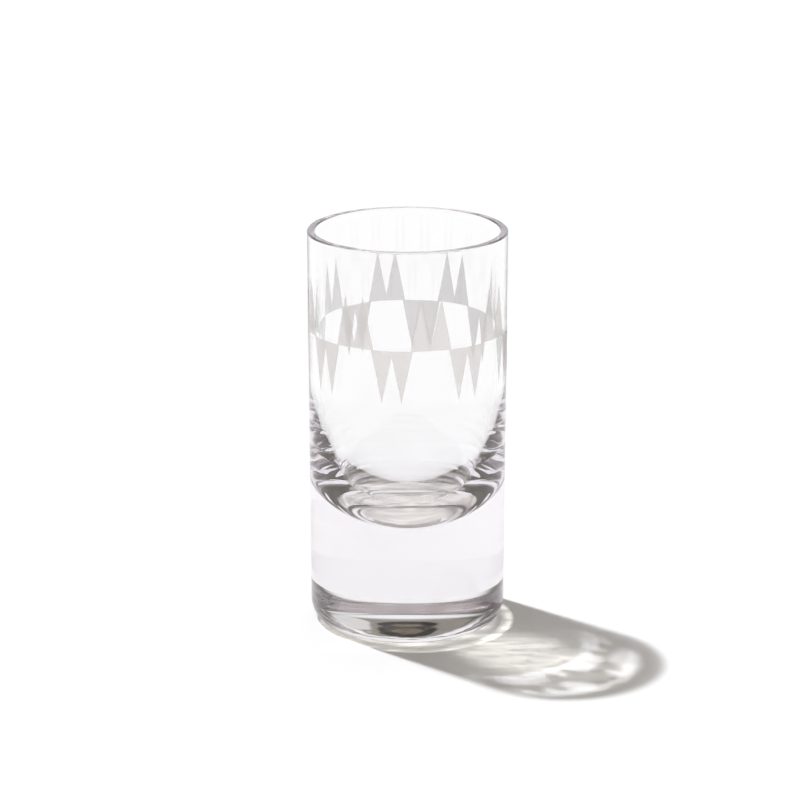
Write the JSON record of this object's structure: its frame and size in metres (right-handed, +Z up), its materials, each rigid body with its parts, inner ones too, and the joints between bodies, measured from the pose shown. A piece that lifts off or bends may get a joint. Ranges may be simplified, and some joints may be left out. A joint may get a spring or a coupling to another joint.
{
  "type": "shot glass",
  "caption": "Straight-sided clear shot glass with a thick solid base, a round-bottomed bowl and a frosted frieze of narrow triangles; holds one measure of spirits.",
  "frame": {"origin": "centre of the foot, on the surface that the glass stands on", "axes": "+Z up the glass's axis towards the rim; -Y is the front, with a hanging pair of frosted triangles a little to its left"},
  "size_m": [0.0444, 0.0444, 0.09],
  "materials": {
    "clear_glass": "clear, polished, colourless",
    "frost": "frosted, translucent pale grey"
  },
  "bodies": {
    "root": {"glass_body": "clear_glass", "frost_pair_down_1": "frost", "frost_pair_down_2": "frost", "frost_pair_down_3": "frost", "frost_pair_down_4": "frost", "frost_pair_down_5": "frost", "frost_pair_down_6": "frost", "frost_pair_down_7": "frost", "frost_pair_down_8": "frost", "frost_pair_up_1": "frost", "frost_pair_up_2": "frost", "frost_pair_up_3": "frost", "frost_pair_up_4": "frost", "frost_pair_up_5": "frost", "frost_pair_up_6": "frost", "frost_pair_up_7": "frost", "frost_pair_up_8": "frost"}
  },
  "joints": []
}
